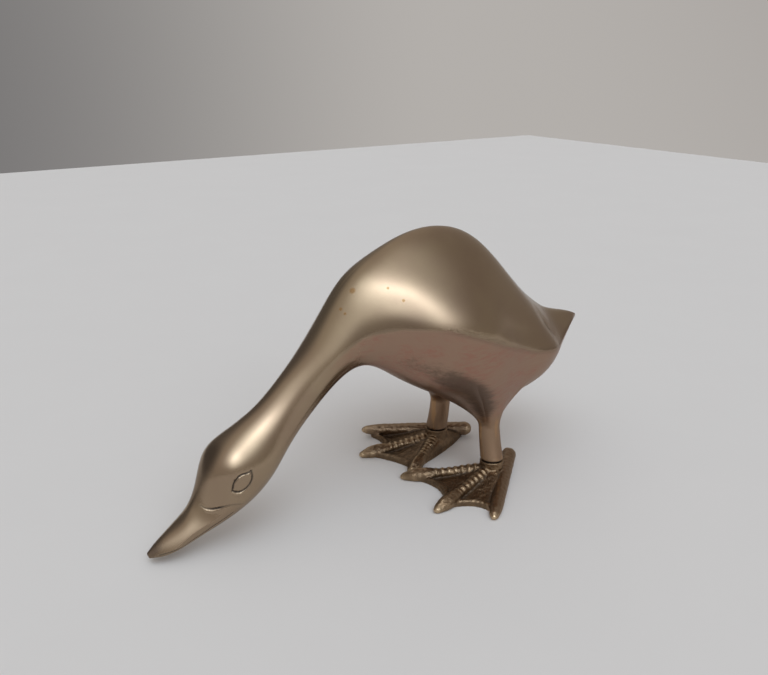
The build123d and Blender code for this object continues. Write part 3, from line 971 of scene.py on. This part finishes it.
footBrass = makeFootBrass(footBrassLook)
toeTree = makeToeTree()
leftFoot = makeFoot("footLeft", "left", toeTree, footBrass)
rightFoot = makeFoot("footRight", "right", toeTree, footBrass)
dress(leftFoot, "left_foot")
dress(rightFoot, "right_foot")


# screws stay as they are, with a turned finish

screwBrass = makeScrewBrass(screwBrassLook, (legForm["x"], legForm["y"]))
for name in ("left_foot_screw", "right_foot_screw"):
    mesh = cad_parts[name].data
    mesh.materials.clear()
    mesh.materials.append(screwBrass)
print("screws finished")


# floor, light and camera

stageLook = {
    "floor": (0.74, 0.712, 0.690), "floorSize": 1.7, "daylight": (0.88, 1.0, 1.12),
    "ground": (0.45, 0.427, 0.405), "ceiling": (0.54, 0.513, 0.486),  # soft room, low down and overhead
    # headings below are an azimuth, round from the bill to the duck's left, and an elevation
    # dim sides of the room: heading, tone, and how squarely a ray faces them from start to full
    "dim": [((155, 25), (0.325, 0.298, 0.283), (0.26, 0.95)),
            ((-67, -4), (0.165, 0.160, 0.160), (0.48, 0.94))],
    # daylight as soft glows: heading, strength, tightness
    "glows": [((49, 62), 1.65, 14), ((80, 38), 2.1, 18), ((66, 52), 2.0, 46)],
    # the glows fade to a share past the plane that is square to this heading
    "shade": (-146, 63), "shadeEdge": (-0.13, 0.03), "shadeShare": 0.25,
}
cameraPlace = {"at": (207.2, -140.9, 135.5), "heading": (236.12, -18.6), "lens": 40.49, "sensor": 36.0}


def makeFloor(look):
    half = look["floorSize"] / 2
    mesh = bpy.data.meshes.new("floor")
    corners = [(-half, -half, 0), (half, -half, 0), (half, half, 0), (-half, half, 0)]
    mesh.from_pydata(corners, [], [(0, 1, 2, 3)])
    f = Finish("paleFloor")
    patches = f.cloud((0.02, 0.02, 0.02), 3.0, 0.6)
    colour = f.blend(patches, look["floor"], tuple(c * 0.97 for c in look["floor"]))
    roughness = 0.85 + 0.1 * patches
    mesh.materials.append(f.close(colour, roughness, 0.0, patches, depth=0.05, tightness=0.2))
    floor = bpy.data.objects.new("floor", mesh)
    scene.collection.objects.link(floor)


def heading(azimuth, elevation):
    a, e = math.radians(azimuth), math.radians(elevation)
    return Vector((math.sin(a) * math.cos(e), -math.cos(a) * math.cos(e), math.sin(e)))


def makeWorld(look):
    world = bpy.data.worlds.new("softRoom")
    world.use_nodes = True
    s = Sheet(world.node_tree)
    s.tree.nodes.clear()
    around = s.add("ShaderNodeTexCoord", output=0)

    def facing(direction):
        sockets = {0: around, 1: direction}
        return s.add("ShaderNodeVectorMath", {"operation": "DOT_PRODUCT"}, sockets, output=1)

    room = s.blend(s.spread(facing((0, 0, 1)), 0.0, 0.9), look["ground"], look["ceiling"])
    for side, tone, edge in look["dim"]:
        room = s.blend(s.spread(facing(heading(*side)), *edge), room, tone)
    light = s.add("ShaderNodeBackground", {}, {"Color": room})
    share = look["shadeShare"]
    clear = share + (1 - share) * s.spread(facing(heading(*look["shade"])), *look["shadeEdge"])
    for side, strength, tightness in look["glows"]:
        sockets = {0: (facing(heading(*side)) - 1) * tightness}
        glow = s.add("ShaderNodeMath", {"operation": "EXPONENT"}, sockets)
        sockets = {"Color": (*look["daylight"], 1), "Strength": glow * clear * strength}
        light = s.add("ShaderNodeAddShader", {}, {0: light, 1: s.add("ShaderNodeBackground", {}, sockets)})
    s.add("ShaderNodeOutputWorld", {}, {"Surface": light})
    scene.world = world


def makeCamera(place):
    data = bpy.data.cameras.new("camera")
    data.lens = place["lens"]
    data.sensor_width = place["sensor"]
    data.clip_start = 0.01
    camera = bpy.data.objects.new("camera", data)
    camera.location = Vector(place["at"]) * mm
    camera.rotation_mode = "QUATERNION"
    camera.rotation_quaternion = heading(*place["heading"]).to_track_quat("-Z", "Y")
    scene.collection.objects.link(camera)
    scene.camera = camera


makeFloor(stageLook)
makeWorld(stageLook)
makeCamera(cameraPlace)
scene.view_settings.view_transform = "Standard"
print("stage set")
